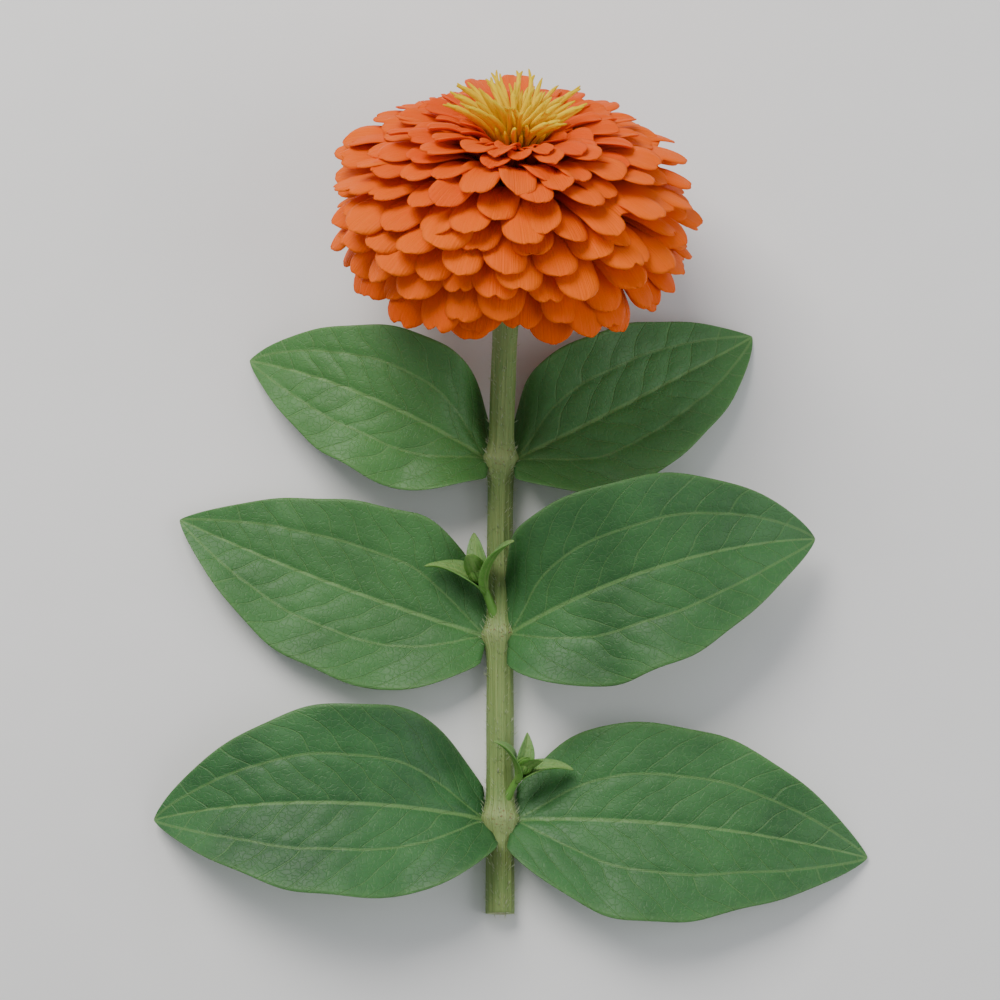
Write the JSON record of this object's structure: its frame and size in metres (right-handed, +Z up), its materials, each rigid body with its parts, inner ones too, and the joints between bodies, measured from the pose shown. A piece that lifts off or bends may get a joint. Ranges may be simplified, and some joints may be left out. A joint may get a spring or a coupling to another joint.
{
  "type": "zinnia flower",
  "caption": "Picked zinnia flower lying down: a dome of tiled orange petals with a yellow crown, on a curved leafy stem.",
  "frame": {"origin": "middle of the flat spot that the lying stem rests on, under its lower half, at the surface", "axes": "+Z up from the surface, +Y along the lying stem from its cut end towards the bloom, +X to the right as seen from the cut end"},
  "size_m": [0.169, 0.199, 0.0755],
  "materials": {
    "stem": "matte",
    "petals": "matte",
    "disc_florets": "satin",
    "involucre": "matte",
    "leaves": "satin",
    "young_shoots": "satin"
  },
  "bodies": {
    "root": {"stem": "stem", "petals": "petals", "disc_florets": "disc_florets", "involucre": "involucre", "leaf_upper_right": "leaves", "leaf_upper_left": "leaves", "leaf_middle_right": "leaves", "leaf_middle_left": "leaves", "leaf_lower_right": "leaves", "leaf_lower_left": "leaves", "axil_shoot_middle": "young_shoots", "axil_shoot_lower": "young_shoots"}
  },
  "joints": []
}
